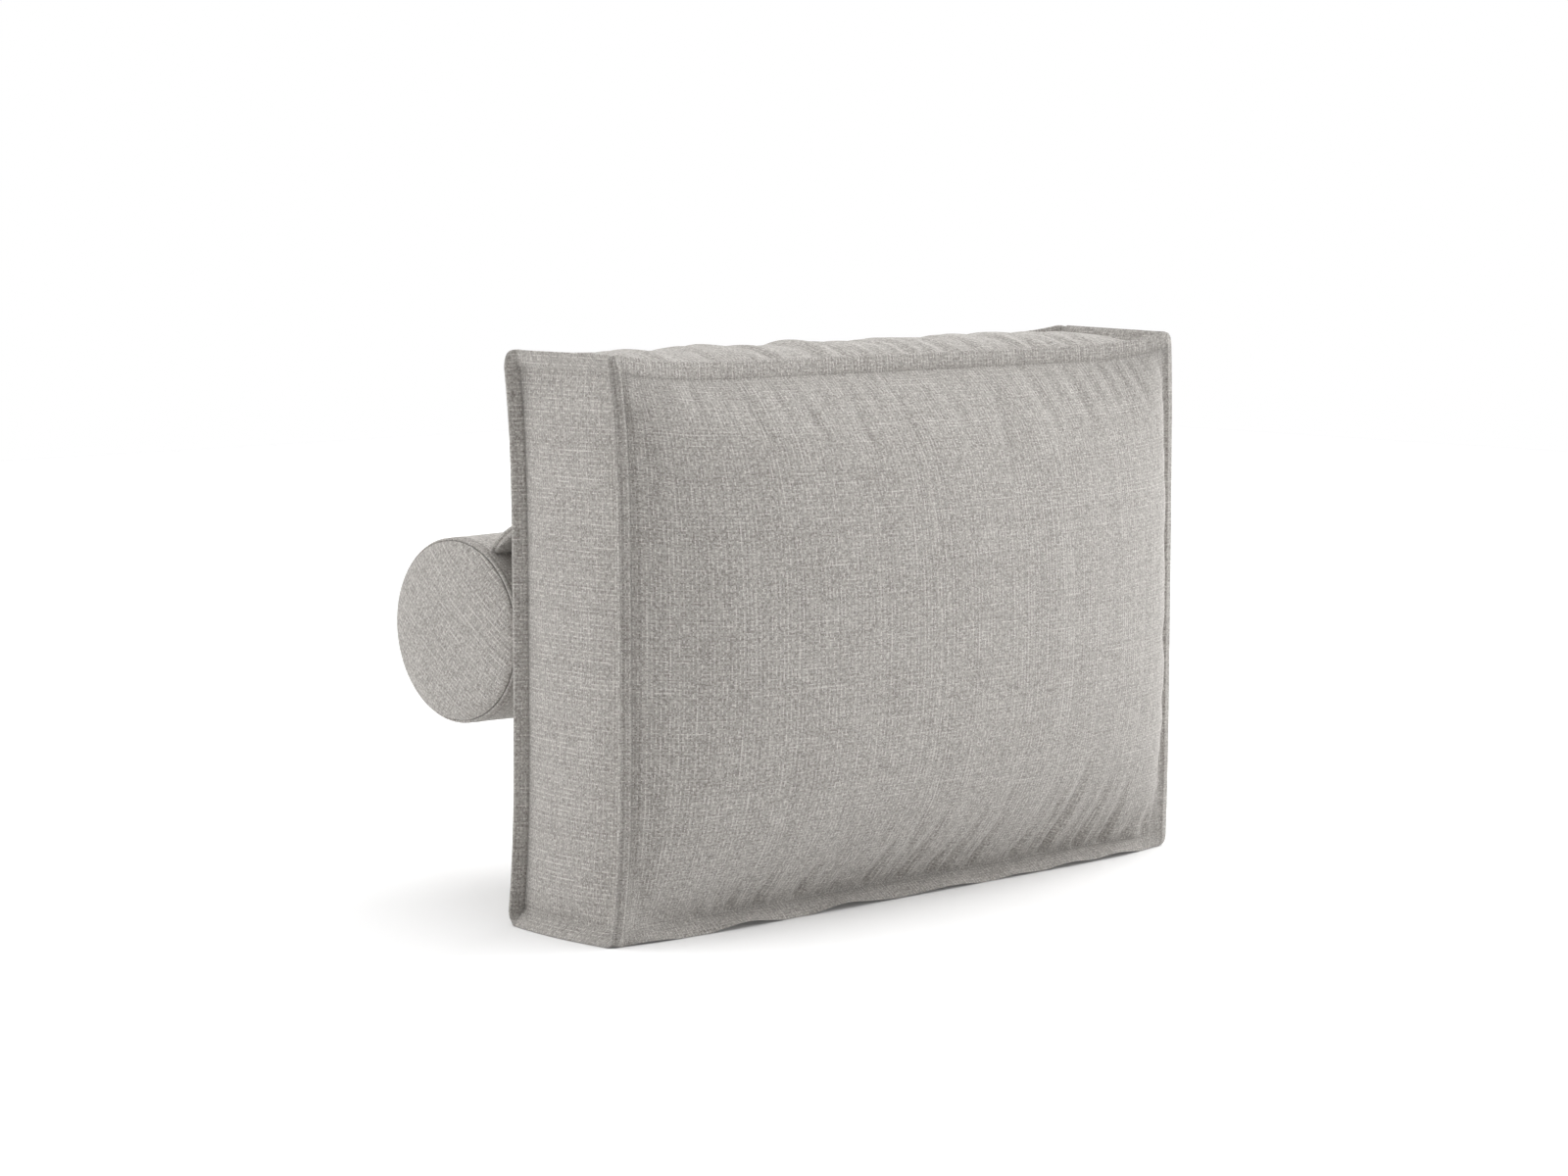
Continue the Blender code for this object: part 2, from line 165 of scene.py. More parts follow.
# Pressed-in folds of the front panel. They deepen over the first millimetres from the
# stitches and fade along their length, and each has a raised bank on either side. All the
# folds of the foot are longer, narrower and deeper than their rows by the same shares.
FOLD_START = 0.008
FOLD_FADE = 1.3
FOLD_POWER = 1.5
FOLD_BANK = 0.40
FOLD_BANK_AT = 1.5
FOOT_FOLD_DEPTH = 2.20
FOOT_FOLD_LENGTH = 1.05
FOOT_FOLD_WIDTH = 0.85
HEAD_FOLD_DEPTH = 0.30

# Each row is one fold: how far it starts from the left rim, its length from the stitches,
# its half width, its depth and its lean to +X.
FOOT_FOLDS = (
    # start, length, half width, depth, lean
    (0.112, 0.040, 0.010, 0.0016, 0.004),
    (0.160, 0.050, 0.009, 0.0018, 0.006),
    (0.199, 0.070, 0.011, 0.0026, 0.012),
    (0.257, 0.075, 0.010, 0.0030, 0.016),
    (0.308, 0.050, 0.009, 0.0024, 0.010),
    (0.360, 0.090, 0.011, 0.0034, 0.012),
    (0.410, 0.100, 0.011, 0.0034, 0.020),
    (0.456, 0.070, 0.009, 0.0030, 0.010),
    (0.481, 0.085, 0.008, 0.0032, 0.010),
    (0.522, 0.075, 0.009, 0.0032, 0.006),
    (0.590, 0.060, 0.009, 0.0030, 0.004),
    (0.641, 0.120, 0.011, 0.0048, 0.010),
    (0.697, 0.085, 0.010, 0.0042, 0.004),
    (0.741, 0.085, 0.010, 0.0036, 0.000),
    (0.778, 0.050, 0.008, 0.0022, -0.002),
    (0.812, 0.070, 0.007, 0.0032, -0.004),
)
HEAD_FOLDS = (
    # start, length, half width, depth, lean
    (0.100, 0.070, 0.012, 0.0010, 0.010),
    (0.165, 0.100, 0.012, 0.0014, 0.014),
    (0.205, 0.060, 0.009, 0.0010, 0.012),
    (0.238, 0.080, 0.011, 0.0013, 0.014),
    (0.305, 0.110, 0.012, 0.0016, 0.016),
    (0.338, 0.060, 0.009, 0.0011, 0.012),
    (0.372, 0.080, 0.011, 0.0014, 0.014),
    (0.446, 0.100, 0.012, 0.0016, 0.016),
    (0.482, 0.070, 0.009, 0.0012, 0.012),
    (0.520, 0.110, 0.012, 0.0018, 0.016),
    (0.558, 0.070, 0.009, 0.0013, 0.014),
    (0.590, 0.090, 0.011, 0.0017, 0.016),
    (0.622, 0.080, 0.009, 0.0015, 0.016),
    (0.655, 0.110, 0.010, 0.0020, 0.018),
    (0.686, 0.100, 0.009, 0.0019, 0.020),
    (0.715, 0.110, 0.009, 0.0022, 0.022),
    (0.742, 0.120, 0.008, 0.0022, 0.026),
    (0.766, 0.130, 0.008, 0.0024, 0.030),
    (0.790, 0.110, 0.007, 0.0020, 0.028),
)

# Soft unevenness of every panel, the gathers across the top panel, and the step over which
# a panel's direction is measured
UNEVEN = 0.0009
UNEVEN_LENGTH = 0.055
UNEVEN_START = 0.05
GATHER = 0.0050
GATHER_LENGTH = 0.021
GATHER_START = 0.12
NORMAL_STEP = 0.004

# The roll's cloth: its shoulder beside each welt, as distances in from the welt and down
# from the roll's radius, and its domed ends, as distances out and shares of the radius
ROLL_TURNS = 88
ROLL_SLACK_POWER = 3
ROLL_GROOVE_GAP = 0.0005
GROOVE_HALF_WIDTH = 0.0022
ROLL_SHOULDER = ((0.0100, 0.0), (0.0060, 0.0001), (0.0040, 0.0008), (0.0028, 0.0024))
ROLL_END = (
    # out, share
    (0.0012, 0.996),
    (0.0018, 1.008),
    (0.0028, 1.013),
    (0.0044, 1.002),
    (0.0062, 0.955),
    (0.0078, 0.86),
    (0.0092, 0.76),
    (0.0104, 0.64),
    (0.0112, 0.52),
    (0.0118, 0.40),
    (0.0120, 0.28),
    (0.0120, 0.17),
    (0.0120, 0.07),
    (0.0120, 0.0),
)
ROLL_END_HELD = 5
ROLL_END_BIAS = math.radians(53.5)
WELT_STEPS = 14

# The flap's hem and the seam around its edge
FLAP_HEM = 0.008
FLAP_HEM_LINES = (0.0, 0.0008, 0.002, 0.004, 0.008)
FLAP_HEM_THICK = 0.62
FLAP_BEND_SPREAD = 0.55
FLAP_RUNS = 12
FLAP_LONG = 0.075
FLAP_LAYERS = (-1.0, -0.8, -0.5, -0.2, 0.0, 0.2, 0.5, 0.8, 1.0)
FLAP_SEAM = 0.0022
FLAP_SEAM_HALF = 0.5

# How far apart the panels lie on the cloth that their patterns come from
PANEL_SHIFT = 1.37

# Where a cover's cloth is divided: shares of a flange, with more of them across the lip and
# the bead, then distances inside the stitches, then an even spacing
FLANGE_LINES = (1.0, 0.96, 0.88, 0.70, 0.45, 0.25, 0.10)
LIP_LINES = (
    1.0, 0.985, 0.955, 0.92, 0.84, 0.72, 0.66, 0.61,
    0.56, 0.50, 0.44, 0.39, 0.34, 0.28, 0.18, 0.08,
)
EDGE_LINES = (0.003, 0.008)
WIDE_SPACING = 0.0055
SPACING = 0.0096

# The weave: the pitch of its yarns, how high they ride over each other, and the lengths
# of cloth over which they change
WARP_PITCH = 0.00155
WEFT_PITCH = 0.00134
CRIMP = 0.55
YARN_HEIGHT = 0.0004
DASH_LENGTH = 0.0062
SLUB_LENGTH = 0.055
GRAIN_LENGTH = 0.0030
SWAY_LENGTH = 0.030
SWAY = 0.0016
CLOUD_LENGTH = 0.045

# The noise values between which a light yarn comes onto the face and a slub thickens, how
# far apart the noise of neighbouring yarns lies, and the seeds of the two sets of yarns
DASH_RANGE = (-0.10, 0.16)
SLUB_RANGE = (0.10, 0.22)
DASH_APART = 7.31
SLUB_APART = 3.17
GRAIN_APART = 5.71
SWAY_APART = 5.0
WARP_SEED = 3.0
WEFT_SEED = 71.0

# Half the step from the weft on top to the warp on top, and how much of the warp's and the
# weft's lightness shows with the weft on top and is gained or lost with the warp on top
CROSSING = 0.12
WARP_SEEN = (0.25, 0.75)
WEFT_SEEN = (0.85, 0.55)

# The heights between which the shade of the gaps fades, how far a light yarn stands up, and
# how rough and downy the cloth is
GAP_RANGE = (-0.1, 1.3)
SHINE_RAISE = 1.2
CLOTH_ROUGHNESS = 0.92
CLOTH_SHEEN = 0.22
SHEEN_ROUGHNESS = 0.5
SPECULAR = 0.25

# How much lighter or darker each cause makes the cloth, between its dark and pale colours
BASE_SHARE = 0.43
LIGHT_DASH = 0.62
LIGHT_SLUB = 0.50
SLUB_CHANCE = 0.80
GRAIN = 0.62
YARN_OWN = 0.20
WEFT_SHARE = 0.7
SPECK = 0.44
CLOUD = 0.10
GAP_SHADE = 0.34
DARK_YARN = (0.206, 0.184, 0.168)
PALE_YARN = (0.690, 0.667, 0.630)

# The cloth simulation, how far it may move any point, and the share of that movement that
# the side panels and the roll hold back
CLOTH = {
    "quality": 5,
    "mass": 0.3,
    "tension_stiffness": 12.0,
    "compression_stiffness": 12.0,
    "shear_stiffness": 6.0,
    "bending_stiffness": 0.4,
    "air_damping": 2.0,
    "use_pressure": True,
    "uniform_pressure_force": 4.0,
    "shrink_min": -0.012,
}
CLOTH_FRAMES = 20
CLOTH_REACH = 0.0045
SIDE_HELD = 0.6
ROLL_HELD = 0.5

# The topstitching: its place on the flange, the spacing of its path's points, and the
# pitch, raise and size of its stitches
STITCH_AT = 0.06
STITCH_STEP = 0.005
STITCH_PITCH = 0.0050
STITCH_RAISE = 0.00015
STITCH_SIZE = (0.0040, 0.0007, 0.0007)
STITCH_SIDES = 6
STITCH_RINGS = 5
THREAD_COLOUR = (0.40, 0.385, 0.36)
THREAD_SHADES = (0.7, 1.3)
THREAD_ROUGHNESS = 0.7
THREAD_TWIST = 0.0006
THREAD_RAISE = 0.25

# The studio: a white backdrop that gives little light of its own, a white floor with a
# faint glow, and large soft lamps, each with the azimuth that it shines from (0 is the
# front, 90 the right), its elevation, its angular size and its strength
BACKDROP_LIGHT = 1.0
WORLD_LIGHT = 0.02
WHITE = (1.0, 1.0, 1.0, 1.0)
FLOOR_COLOUR = (0.9, 0.9, 0.9)
FLOOR_ROUGHNESS = 0.9
FLOOR_GLOW = 0.05
FLOOR_HALF = 6.0
FLOOR_DROP = 0.0004
LAMPS = (
    ("lamp_right", (90.0, 12.0), 60.0, 5.0),
    ("lamp_front_high", (35.0, 38.0), 60.0, 0.95),
    ("lamp_left_front", (-70.0, 20.0), 50.0, 0.40),
    ("lamp_left_back", (-135.0, 25.0), 60.0, 1.75),
    ("lamp_back", (180.0, 50.0), 60.0, 0.8),
    ("lamp_top", (20.0, 80.0), 60.0, 1.35),
)

# The camera, from the photograph's perspective
CAMERA_AT = (-2.7625, -2.8268, 0.768)
CAMERA_TURN = (83.65, 0.0, -43.18)
CAMERA_LENS = 83.2
CAMERA_SENSOR = 36.0

# Points closer than this are one, and a smaller length counts as none
JOIN_DISTANCE = 0.00001
NO_LENGTH = 1e-9


def mix(low, high, share):
    return low + (high - low) * share


def drawn_in(share, power):
    """0 at both ends of an edge and 1 along its middle."""
    return 1.0 - abs(2.0 * share - 1.0) ** power


def swell(shares, outlines):
    """How full a panel is at a place between its stitches: 0 at them and 1 at its crest."""
    full = 1.0
    for share, (power, root) in zip(shares, outlines):
        full *= max(0.0, drawn_in(share, power)) ** (1.0 / root)
    return full


def stitch_x(side, deep, high):
    """X of the left (-1) or right (1) stitches, at shares of the depth and height."""
    pull = mix(PULL[side, 0], PULL[side, 1], deep) * drawn_in(high, PULL_BOW)
    spread = FOOT_SPREAD * drawn_in(deep, SPREAD_BOW) * (1.0 - high) ** SPREAD_FADE
    return side * (WIDTH / 2 - FLANGE - pull + spread)


def stitch_y(back, across, high):
    """Y of the front (0) or back (1) stitches, set back above the foot flange."""
    setback = FOOT_SETBACK * drawn_in(across, SETBACK_BOW) * (1.0 - high) ** SETBACK_FADE
    return (2 * back - 1) * (DEPTH / 2 - setback)


def stitch_z(top, deep, across):
    """Z of the foot (0) or top (1) stitches; the top edges sag between the corners."""
    if not top:
        return FOOT_HEIGHT
    return HEIGHT - FLANGE - mix(*TOP_SAG, deep) * drawn_in(across, TOP_BOW)


def settled(point):
    """The cover's top rises towards its right end at the back."""
    along = max(0.0, point.x / (WIDTH / 2) - RISE_START) / (1.0 - RISE_START)
    deep = min(1.0, max(0.0, point.y / DEPTH + 0.5))
    return point + Vector((0.0, 0.0, RISE * along * deep * (point.z / HEIGHT) ** 2))


def rim_y(back):
    """Y of the front (0) or back (1) rims, in the middle of a flange's thickness."""
    return (2 * back - 1) * (DEPTH - STITCHED) / 2


def fold_depth(folds, from_left, from_stitches, longer=1.0, wider=1.0):
    """How deep the folds of one edge are pressed in at a place on the front panel."""
    total = 0.0
    for start, length, half_width, depth, lean in folds:
        along = from_stitches / (length * longer)
        if along >= 1.0:
            continue
        off = (from_left - start - lean * along) / (half_width * wider)
        pressed = min(1.0, from_stitches / FOLD_START) * (1.0 - along) ** FOLD_FADE
        shape = math.exp(-2.0 * abs(off) ** FOLD_POWER)
        for bank in (-FOLD_BANK_AT, FOLD_BANK_AT):
            shape -= FOLD_BANK * math.exp(-2.0 * (off - bank) ** 2)
        total += depth * pressed * shape
    return total


def unevenness(first, second, seed):
    """The soft unevenness of a panel, which fades towards its stitches."""
    near = min(first, second, 1.0 - first, 1.0 - second) / UNEVEN_START
    return UNEVEN * min(1.0, max(0.0, near)) * soft_noise.noise(seed)


def front_crease(across, high):
    """How far in the folds press the front panel at a place between its stitches."""
    x = mix(stitch_x(-1, 0, high), stitch_x(1, 0, high), across)
    low, top = stitch_z(0, 0, across), stitch_z(1, 0, across)
    z = mix(low, top, high)
    from_left = x + WIDTH / 2
    foot = fold_depth(FOOT_FOLDS, from_left, z - low, FOOT_FOLD_LENGTH, FOOT_FOLD_WIDTH)
    head = fold_depth(HEAD_FOLDS, from_left, top - z)
    return FOOT_FOLD_DEPTH * foot + HEAD_FOLD_DEPTH * head


def top_crease(across, deep):
    """How far in the gathers press the top panel."""
    near = min(1.0, min(across, 1.0 - across, deep, 1.0 - deep) / GATHER_START)
    place = Vector((across * WIDTH / GATHER_LENGTH, deep, 0.0))
    return GATHER * near * soft_noise.noise(place)


def broad_panel(back, across, high):
    """The front or back panel inside its stitches."""
    x = mix(stitch_x(-1, back, high), stitch_x(1, back, high), across)
    low, top = stitch_z(0, back, across), stitch_z(1, back, across)
    z = mix(low, top, high)
    y = stitch_y(back, across, high)
    if back:
        return Vector((x, y + BACK_CROWN * swell((across, high), BACK_SWELL), z))
    (flat, root), upright = FRONT_SWELL
    outlines = ((flat, root if across < 0.5 else FRONT_RIGHT_ROOT), upright)
    ease = 1.0 - FOOT_EASE * math.exp(-high / FOOT_EASE_LENGTH)
    return Vector((x, y - FRONT_CROWN * ease * swell((across, high), outlines), z))


def side_panel(right, deep, high):
    """The left or right boxing panel inside its stitches."""
    side = 2 * right - 1
    crown = SIDE_CROWN * swell((deep, high), SIDE_SWELL)
    x = stitch_x(side, deep, high) + side * crown
    y_front = stitch_y(0, right, high) + STITCHED
    y = mix(y_front, stitch_y(1, right, high) - STITCHED, deep)
    return Vector((x, y, mix(FOOT_HEIGHT, stitch_z(1, deep, right), high)))


def level_panel(top, across, deep):
    """The top boxing panel, or the bottom one, pressed flat where the cushion stands."""
    x_left = stitch_x(-1, deep, top) + STITCHED
    x = mix(x_left, stitch_x(1, deep, top) - STITCHED, across)
    y_front = stitch_y(0, across, top) + STITCHED
    y = mix(y_front, stitch_y(1, across, top) - STITCHED, deep)
    z = stitch_z(top, deep, across)
    if top:
        return Vector((x, y, z + TOP_CROWN * swell((across, deep), TOP_SWELL)))
    return Vector((x, y, max(0.0, z - BASE_CROWN * swell((across, deep), BASE_SWELL))))


def split(place):
    """A line's share of the flange, its share of the panel, and the end that it is near."""
    if place < 0.0:
        return -place, 0.0, 0
    if place > 1.0:
        return place - 1.0, 1.0, 1
    return 0.0, place, 0


def run(place, marks):
    """A coordinate along an edge, from its values at a rim, both stitches and a rim."""
    share, inner, end = split(place)
    return mix(mix(marks[1], marks[2], inner), marks[3 * end], share)


def ear(point, right, top, share):
    """Round off a flange's corner."""
    cut = EAR_ROUND * share ** EAR_POWER
    return point - Vector(((2 * right - 1) * cut, 0.0, (2 * top - 1) * cut))


def rim_across(place, back, top):
    """The rim that runs along X at the front or back, at the foot or top."""
    share, across, right = split(place)
    left_x, right_x = stitch_x(-1, back, top), stitch_x(1, back, top)
    x = run(place, (left_x - FLANGE, left_x, right_x, right_x + FLANGE))
    z = stitch_z(1, back, across) + FLANGE if top else 0.0
    point = ear(Vector((x, rim_y(back), z)), right, top, share)
    if not top and not back:
        loose = drawn_in(across, SETBACK_BOW)
        wave = soft_noise.noise(Vector((x / FOOT_WAVE_LENGTH, 3.1, 0.0)))
        point.y -= FOOT_SPLAY * loose * (1.0 + wave * FOOT_WAVE)
        point.z += FOOT_LIFT * loose * max(0.0, wave + FOOT_WAVE_BIAS)
    return point


def rim_upright(place, right, back):
    """The rim that runs up a corner of the cushion."""
    share, high, top = split(place)
    side = 2 * right - 1
    x = stitch_x(side, back, high) + side * FLANGE
    y = rim_y(back)
    z = run(place, (0.0, FOOT_HEIGHT, HEIGHT - FLANGE, HEIGHT))
    if back and not right:
        turned = drawn_in(z / HEIGHT, BACK_RIM_BOW)
        x += BACK_RIM_IN * turned
        y += BACK_RIM_BACK * turned
    return ear(Vector((x, y, z)), right, top, share)


def rim_deep(place, right, top):
    """The rim that runs from the front to the back, which turns out to meet the corners."""
    share, deep, _ = split(place)
    shift = -TOP_RIM_LEAN if top else FOOT_RIM_SPREAD * drawn_in(deep, SPREAD_BOW)
    x = (2 * right - 1) * (WIDTH / 2 + shift * (1.0 - share))
    turn_y = DEPTH / 2 - RIM_TURN
    y = run(place, (rim_y(0), -turn_y, turn_y, rim_y(1)))
    return ear(Vector((x, y, HEIGHT * top)), right, top, share)


class Panel:
    """One cloth panel of the cover: how it runs inside its stitches and over its flanges.

    shape takes the two shares inside the stitches, rims[0] and rims[1] give the rim that
    runs along the first and along the second direction at a far end, and bulge[0] and
    bulge[1] give the way in which the cloth puffs out on the flanges at an end. lip says
    whether the flanges at the ends of the first direction have a soft lip. turned says whether
    the cloth's ribs run along the first direction. crease gives how far in the panel is
    pressed, and side is 1 where the outside is to the left of its two directions, or -1.
    """

    def __init__(self, name, shape, rims, bulge, lip, turned, crease, side):
        self.name = name
        self.shape = shape
        self.rims = rims
        self.bulge = bulge
        self.lip = lip
        self.turned = turned
        self.crease = crease
        self.side = side

    def inside(self, first, second):
        """A point between the stitches, pressed in where the cloth has its folds."""
        point = self.shape(first, second)
        if first in (0.0, 1.0) or second in (0.0, 1.0) or self.name == "base":
            return point
        step_a = NORMAL_STEP if first < 0.5 else -NORMAL_STEP
        step_b = NORMAL_STEP if second < 0.5 else -NORMAL_STEP
        along_a = (self.shape(first + step_a, second) - point) / step_a
        along_b = (self.shape(first, second + step_b) - point) / step_b
        outward = along_a.cross(along_b).normalized() * self.side
        depth = unevenness(first, second, point / UNEVEN_LENGTH)
        if self.crease:
            depth += self.crease(first, second)
        return point - outward * depth

    def flange(self, first, second):
        """A point of the flange where only one of the two places is past the stitches."""
        share_a, panel_a, end_a = split(first)
        share_b, panel_b, end_b = split(second)
        seam = self.shape(panel_a, panel_b)
        if share_a > 0.0:
            share, rim, way = share_a, self.rims[1](second, end_a), self.bulge[0](end_a)
            lip = LIP_SHARE[end_a] * self.lip
        else:
            share, rim, way = share_b, self.rims[0](first, end_b), self.bulge[1](end_b)
            lip = 0.0
        puff = PUFF * drawn_in(share, PUFF_BOW)
        if lip:
            puff *= min(1.0, share / LIP_AT)
        lip_puff = LIP * math.exp(-abs((share - LIP_AT) / LIP_HALF) ** LIP_POWER)
        bead_puff = BEAD * math.exp(-((share - BEAD_AT) / BEAD_HALF) ** 2) * (share < 1.0)
        puff += lip * (lip_puff + bead_puff)
        return mix(seam, rim, share) + way * puff

    def point(self, first, second):
        """The panel, one of its flanges, or the corner that two flanges share."""
        share_a, panel_a, end_a = split(first)
        share_b, panel_b, end_b = split(second)
        if share_a == 0.0 and share_b == 0.0:
            return self.inside(panel_a, panel_b)
        if share_a == 0.0 or share_b == 0.0:
            return self.flange(first, second)
        outer_a, outer_b = 3.0 * end_a - 1.0, 3.0 * end_b - 1.0
        seam = self.shape(panel_a, panel_b)
        from_a, from_b = self.flange(first, panel_b), self.flange(panel_a, second)
        rim_a, rim_b = self.rims[1](second, end_a), self.rims[0](first, end_b)
        corner = self.rims[0](outer_a, end_b)
        start_a, start_b = self.rims[1](panel_b, end_a), self.rims[0](panel_a, end_b)
        level = mix(mix(seam, start_a, share_a), mix(start_b, corner, share_a), share_b)
        return mix(from_a, rim_b, share_b) + mix(from_b, rim_a, share_a) - level


def cover_panels():
    """The six panels of the cushion's cover, with the spans of their two directions."""
    inward_y = (Vector((0, 1, 0)), Vector((0, -1, 0)))
    inward_x = (Vector((1, 0, 0)), Vector((-1, 0, 0)))
    wide = (WIDTH - 2 * FLANGE, WIDE_SPACING, LIP_LINES)
    tall = (HEIGHT - FLANGE - FOOT_HEIGHT, SPACING, FLANGE_LINES)
    deep = (DEPTH - 2 * STITCHED, SPACING, FLANGE_LINES)
    panels = []
    for end in (0, 1):
        outward = -inward_y[end]
        panels.append((Panel(
            ("front", "back")[end],
            lambda a, b, end=end: broad_panel(end, a, b),
            (
                lambda place, top, end=end: rim_across(place, end, top),
                lambda place, right, end=end: rim_upright(place, right, end),
            ),
            (lambda _, way=outward: way, lambda _, way=outward: way),
            True,
            False,
            None if end else front_crease,
            (1, -1)[end],
        ), (wide, tall)))
        panels.append((Panel(
            ("left", "right")[end],
            lambda a, b, end=end: side_panel(end, a, b),
            (
                lambda place, top, end=end: rim_deep(place, end, top),
                lambda place, back, end=end: rim_upright(place, end, back),
            ),
            (lambda back: inward_y[back], lambda _, way=-inward_x[end]: way),
            False,
            True,
            None,
            (-1, 1)[end],
        ), (deep, tall)))
        panels.append((Panel(
            ("base", "top")[end],
            lambda a, b, end=end: level_panel(end, a, b),
            (
                lambda place, back, end=end: rim_across(place, back, end),
                lambda place, right, end=end: rim_deep(place, right, end),
            ),
            (lambda right: inward_x[right], lambda back: inward_y[back]),
            False,
            False,
            top_crease if end else None,
            (-1, 1)[end],
        ), (wide, deep)))
    return panels


def places(span, spacing, flange_lines):
    """The places of the lines that divide one direction, from rim to rim."""
    near = [-share for share in flange_lines] + [0.0] + [line / span for line in EDGE_LINES]
    middle = span - 2 * EDGE_LINES[-1]
    count = max(1, round(middle / spacing))
    inner = [(EDGE_LINES[-1] + middle * i / count) / span for i in range(1, count)]
    return near + inner + [1.0 - place for place in reversed(near)]


def cloth_length(lines, point_at):
    """The length of cloth from the first stitches to each line, along a middle section."""
    lengths = [0.0]
    points = [point_at(line) for line in lines]
    for before, after in zip(points, points[1:]):
        lengths.append(lengths[-1] + (after - before).length)
    zero = lengths[lines.index(0.0)]
    return [length - zero for length in lengths]


def new_shape():
    """An empty shape with its cloth coordinates and its held marks."""
    shape = bmesh.new()
    shape.loops.layers.uv.new("cloth")
    shape.verts.layers.float.new("held")
    return shape


def add_cloth(shape, points, cloth_at, held_at=None):
    """Add one cloth to a shape from a table of points, and return its vertices.

    cloth_at gives the cloth coordinates and held_at the held mark at a row and column.
    """
    uv = shape.loops.layers.uv["cloth"]
    held = shape.verts.layers.float["held"]
    grid = [[shape.verts.new(point) for point in row] for row in points]
    if held_at:
        for i, row in enumerate(grid):
            for j, vertex in enumerate(row):
                vertex[held] = held_at(i, j)
    for i in range(len(grid) - 1):
        for j in range(len(grid[0]) - 1):
            corners = ((i, j), (i + 1, j), (i + 1, j + 1), (i, j + 1))
            face = shape.faces.new([grid[a][b] for a, b in corners])
            face.smooth = True
            for loop, (a, b) in zip(face.loops, corners):
                loop[uv].uv = cloth_at(a, b)
    return grid


def close_shape(shape):
    """Join the cloths of a shape rim to rim, with every face outward."""
    bmesh.ops.remove_doubles(shape, verts=shape.verts[:], dist=JOIN_DISTANCE)
    bmesh.ops.recalc_face_normals(shape, faces=shape.faces[:])
    if shape.calc_volume(signed=True) < 0.0:
        bmesh.ops.reverse_faces(shape, faces=shape.faces[:])
    return shape


def make_cover():
    """The cushion's cover as one closed shape, held wherever the filling can't move it.

    The held marks run from 0, where the cloth is loose, to 1, where it is sewn or pressed.
    """
    cover = new_shape()
    for number, (panel, spans) in enumerate(cover_panels()):
        first, second = places(*spans[0]), places(*spans[1])
        along_a = cloth_length(first, lambda line: panel.point(line, 0.5))
        along_b = cloth_length(second, lambda line: panel.point(0.5, line))
        shift = PANEL_SHIFT * number

        def cloth_at(i, j):
            if panel.turned:
                return along_b[j] + shift, along_a[i]
            return along_a[i] + shift, along_b[j]

        def held_at(i, j):
            inside = 0.0 < first[i] < 1.0 and 0.0 < second[j] < 1.0
            if not inside or panel.name == "base":
                return 1.0
            return SIDE_HELD if panel.name in ("left", "right") else 0.0

        points = [[settled(panel.point(a, b)) for b in second] for a in first]
        add_cloth(cover, points, cloth_at, held_at)
    return close_shape(cover)


def ring(radius, x, turns):
    """The points around the roll's flattened section, from its lowest point."""
    points = []
    for turn in range(turns + 1):
        angle = 2.0 * math.pi * turn / turns
        y = ROLL_CENTRE[1] + radius * math.sin(angle)
        z = ROLL_CENTRE[2] - radius * ROLL_FLAT * math.cos(angle)
        points.append(Vector((x, y, z)))
    return points


def make_roll():
    """The bolster's cover: a body around the roll and a round cloth at each end."""
    roll = new_shape()
    welt_at = WIDTH / 2 - ROLL_END_INSET
    floor = ROLL_RADIUS - WELT_SINK - WELT_RADIUS - ROLL_GROOVE_GAP
    turns = ROLL_TURNS
    edge = [(welt_at - near, ROLL_RADIUS - drop) for near, drop in ROLL_SHOULDER]
    reach = edge[0][0]
    body = []
    count = round(reach / SPACING)
    for step in range(count + 1):
        share = step / count
        slack = ROLL_SLACK * (1.0 - share ** ROLL_SLACK_POWER)
        body.append((reach * share, ROLL_RADIUS + slack))
    half = body + edge[1:] + [(welt_at - GROOVE_HALF_WIDTH, floor)]
    profile = [(-x, radius) for x, radius in reversed(half[1:])] + half
    points = [ring(radius, x, turns) for x, radius in profile]
    lengths = [0.0]
    for before, after in zip(profile, profile[1:]):
        lengths.append(lengths[-1] + math.dist(before, after))
    around = 2.0 * math.pi * ROLL_RADIUS
    held_rows = len(edge)

    def body_held(i, _):
        sewn = i < held_rows or i >= len(profile) - held_rows
        return 1.0 if sewn else ROLL_HELD

    add_cloth(
        roll,
        points,
        lambda i, j: (lengths[i], around * j / turns),
        body_held,
    )
    for side in (-1, 1):
        end = [(welt_at + out, share * floor) for out, share in ROLL_END]
        end = [(welt_at - GROOVE_HALF_WIDTH, floor)] + end
        rings = [ring(radius, side * x, turns) for x, radius in end]
        centre = Vector((0.0, ROLL_CENTRE[1], ROLL_CENTRE[2]))

        def end_cloth(i, j):
            across = rings[i][j] - centre
            turned = Matrix.Rotation(ROLL_END_BIAS, 2) @ Vector((across.y, across.z))
            return turned.x + side, turned.y

        add_cloth(roll, rings, end_cloth, lambda i, _: 1.0 if i < ROLL_END_HELD else ROLL_HELD)
    return close_shape(roll)


def make_welt(side):
    """The welt of cloth sewn around one end of the roll."""
    welt = new_shape()
    x = side * (WIDTH / 2 - ROLL_END_INSET)
    sections = []
    for step in range(WELT_STEPS + 1):
        angle = 2.0 * math.pi * step / WELT_STEPS
        radius = ROLL_RADIUS - WELT_SINK + WELT_RADIUS * math.cos(angle)
        sections.append(ring(radius, x + WELT_RADIUS * math.sin(angle), ROLL_TURNS))
    around = 2.0 * math.pi * ROLL_RADIUS
    girth = 2.0 * math.pi * WELT_RADIUS

    def welt_cloth(i, j):
        return around * j / ROLL_TURNS + side, girth * i / WELT_STEPS

    add_cloth(welt, sections, welt_cloth)
    return close_shape(welt)


